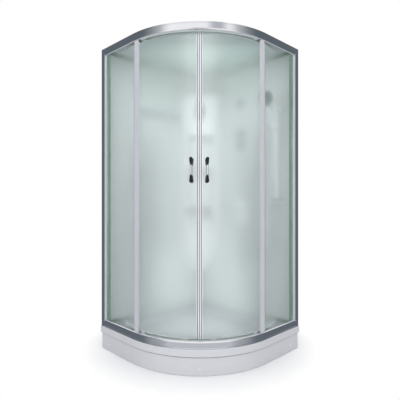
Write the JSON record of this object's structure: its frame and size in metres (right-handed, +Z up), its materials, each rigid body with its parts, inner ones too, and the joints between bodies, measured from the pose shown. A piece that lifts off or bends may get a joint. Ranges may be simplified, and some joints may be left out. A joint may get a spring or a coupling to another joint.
{
  "type": "quadrant shower enclosure",
  "caption": "Quadrant shower cabin with a rounded front of frosted sliding doors between chrome rails, on a deep tray with white back walls and a corner shelf column.",
  "frame": {"origin": "on the floor under the middle of the square that the tray's outline fits in", "axes": "+Z up; the back walls stand along -X and +Y and meet at the corner (-X,+Y); the rounded front faces (+X,-Y)"},
  "size_m": [0.9, 0.9, 1.919],
  "materials": {
    "white_acrylic": "glossy white sanitary acrylic",
    "white_wall": "glossy white wall panel",
    "white_moulding": "glossy white moulded plastic",
    "plated_steel": "zinc-plated steel",
    "screw_cap": "grey plastic screw cap",
    "frame_paint": "grey powder coat",
    "foot_plastic": "black moulded plastic",
    "pipe_plastic": "white drain plastic",
    "chrome": "polished chrome plate",
    "rail_chrome": "bright anodised aluminium, nearly mirror-like",
    "track_aluminium": "mill-finish aluminium",
    "stop_rubber": "black rubber",
    "frosted_glass": "frosted green-tinted safety glass",
    "satin_aluminium": "satin silver-grey aluminium",
    "clear_seal": "milky flexible seal",
    "meeting_seal": "grey magnetic seal with a bright edge",
    "mirror": "silvered mirror",
    "jet_plastic": "dark grey plastic with a bright ring",
    "hose_metal": "chrome-plated metal hose",
    "slider_plastic": "chrome-look plastic",
    "handset_plastic": "chrome and grey plastic",
    "carriage_plastic": "light grey acetal",
    "wheel_plastic": "white acetal"
  },
  "bodies": {
    "enclosure": {"shower_tray": "white_acrylic", "tray_skirt": "white_acrylic", "skirt_clips": "plated_steel", "skirt_screws": "screw_cap", "tray_frame": "frame_paint", "tray_feet": "foot_plastic", "drain_body": "pipe_plastic", "bottom_rail": "rail_chrome", "top_rail": "rail_chrome", "bottom_track": "track_aluminium", "top_track": "track_aluminium", "door_stops": "stop_rubber", "left_wall_post": "rail_chrome", "right_wall_post": "rail_chrome", "left_fixed_glass": "frosted_glass", "right_fixed_glass": "frosted_glass", "left_edge_strip": "satin_aluminium", "right_edge_strip": "satin_aluminium", "glass_gaskets": "clear_seal", "left_back_wall": "white_wall", "right_back_wall": "white_wall", "roof_panel": "white_wall", "corner_column": "white_moulding", "column_mirror": "mirror", "towel_bar": "chrome", "towel_brackets": "chrome", "riser_bar": "chrome", "riser_brackets": "chrome", "mixer_body": "chrome", "body_jets": "jet_plastic", "shower_hose": "hose_metal"},
    "drain_cover": {"drain_cover": "chrome"},
    "mixer_lever": {"mixer_lever": "chrome"},
    "diverter_knob": {"diverter_knob": "chrome"},
    "handset": {"shower_slider": "slider_plastic", "hand_shower": "handset_plastic"},
    "left_door": {"left_door_glass": "frosted_glass", "left_meeting_seal": "meeting_seal", "left_door_seals": "clear_seal", "left_handle_screws": "plated_steel", "left_outer_handle": "chrome", "left_inner_handle": "chrome", "left_carriages": "carriage_plastic", "left_wheel_axles": "plated_steel"},
    "right_door": {"right_door_glass": "frosted_glass", "right_meeting_seal": "meeting_seal", "right_door_seals": "clear_seal", "right_handle_screws": "plated_steel", "right_outer_handle": "chrome", "right_inner_handle": "chrome", "right_carriages": "carriage_plastic", "right_wheel_axles": "plated_steel"},
    "left_top_near_wheel": {"left_top_near_wheel": "wheel_plastic"},
    "left_top_far_wheel": {"left_top_far_wheel": "wheel_plastic"},
    "left_bottom_near_wheel": {"left_bottom_near_wheel": "wheel_plastic"},
    "left_bottom_far_wheel": {"left_bottom_far_wheel": "wheel_plastic"},
    "right_top_near_wheel": {"right_top_near_wheel": "wheel_plastic"},
    "right_top_far_wheel": {"right_top_far_wheel": "wheel_plastic"},
    "right_bottom_near_wheel": {"right_bottom_near_wheel": "wheel_plastic"},
    "right_bottom_far_wheel": {"right_bottom_far_wheel": "wheel_plastic"}
  },
  "joints": [
    {"name": "left_door_slide", "type": "hinge", "parent": "enclosure", "child": "left_door", "pos_m": [-0.1, 0.1, 1.029], "axis": [0, 0, -1], "range_deg": [0, 27]},
    {"name": "right_door_slide", "type": "hinge", "parent": "enclosure", "child": "right_door", "pos_m": [-0.1, 0.1, 1.029], "axis": [0, 0, 1], "range_deg": [0, 27]},
    {"name": "left_top_near_wheel_roll", "type": "hinge", "parent": "left_door", "child": "left_top_near_wheel", "pos_m": [0.1992, -0.30434, 1.885], "axis": [0.5948, -0.8039, 0], "range_deg": [0, 1236]},
    {"name": "left_top_far_wheel_roll", "type": "hinge", "parent": "left_door", "child": "left_top_far_wheel", "pos_m": [-0.03435, -0.3987, 1.885], "axis": [0.1305, -0.9914, 0], "range_deg": [0, 1236]},
    {"name": "left_bottom_near_wheel_roll", "type": "hinge", "parent": "left_door", "child": "left_bottom_near_wheel", "pos_m": [0.1992, -0.30434, 0.173], "axis": [0.5948, -0.8039, 0], "range_deg": [-1236, 0]},
    {"name": "left_bottom_far_wheel_roll", "type": "hinge", "parent": "left_door", "child": "left_bottom_far_wheel", "pos_m": [-0.03435, -0.3987, 0.173], "axis": [0.1305, -0.9914, 0], "range_deg": [-1236, 0]},
    {"name": "right_top_near_wheel_roll", "type": "hinge", "parent": "right_door", "child": "right_top_near_wheel", "pos_m": [0.30434, -0.1992, 1.885], "axis": [0.8039, -0.5948, 0], "range_deg": [-1236, 0]},
    {"name": "right_top_far_wheel_roll", "type": "hinge", "parent": "right_door", "child": "right_top_far_wheel", "pos_m": [0.3987, 0.03435, 1.885], "axis": [0.9914, -0.1305, 0], "range_deg": [-1236, 0]},
    {"name": "right_bottom_near_wheel_roll", "type": "hinge", "parent": "right_door", "child": "right_bottom_near_wheel", "pos_m": [0.30434, -0.1992, 0.173], "axis": [0.8039, -0.5948, 0], "range_deg": [0, 1236]},
    {"name": "right_bottom_far_wheel_roll", "type": "hinge", "parent": "right_door", "child": "right_bottom_far_wheel", "pos_m": [0.3987, 0.03435, 0.173], "axis": [0.9914, -0.1305, 0], "range_deg": [0, 1236]},
    {"name": "lever_turn", "type": "hinge", "parent": "enclosure", "child": "mixer_lever", "pos_m": [-0.008, 0.373, 0.9], "axis": [0, -1, 0], "range_deg": [-50, 50]},
    {"name": "diverter_turn", "type": "hinge", "parent": "enclosure", "child": "diverter_knob", "pos_m": [-0.008, 0.405, 0.832], "axis": [0, -1, 0], "range_deg": [0, 90]},
    {"name": "handset_slide", "type": "slide", "parent": "enclosure", "child": "handset", "axis": [0, 0, 1], "range_m": [-0.34, 0.05], "deforming": ["shower_hose"]},
    {"name": "drain_cover_lift", "type": "slide", "parent": "enclosure", "child": "drain_cover", "axis": [0, 0, 1], "range_m": [0, 0.06]}
  ],
  "couplings": [
    {"joint": "left_top_near_wheel_roll", "follows": "left_door_slide", "ratio": 45.727},
    {"joint": "left_top_far_wheel_roll", "follows": "left_door_slide", "ratio": 45.727},
    {"joint": "left_bottom_near_wheel_roll", "follows": "left_door_slide", "ratio": -45.727},
    {"joint": "left_bottom_far_wheel_roll", "follows": "left_door_slide", "ratio": -45.727},
    {"joint": "right_top_near_wheel_roll", "follows": "right_door_slide", "ratio": -45.727},
    {"joint": "right_top_far_wheel_roll", "follows": "right_door_slide", "ratio": -45.727},
    {"joint": "right_bottom_near_wheel_roll", "follows": "right_door_slide", "ratio": 45.727},
    {"joint": "right_bottom_far_wheel_roll", "follows": "right_door_slide", "ratio": 45.727}
  ]
}
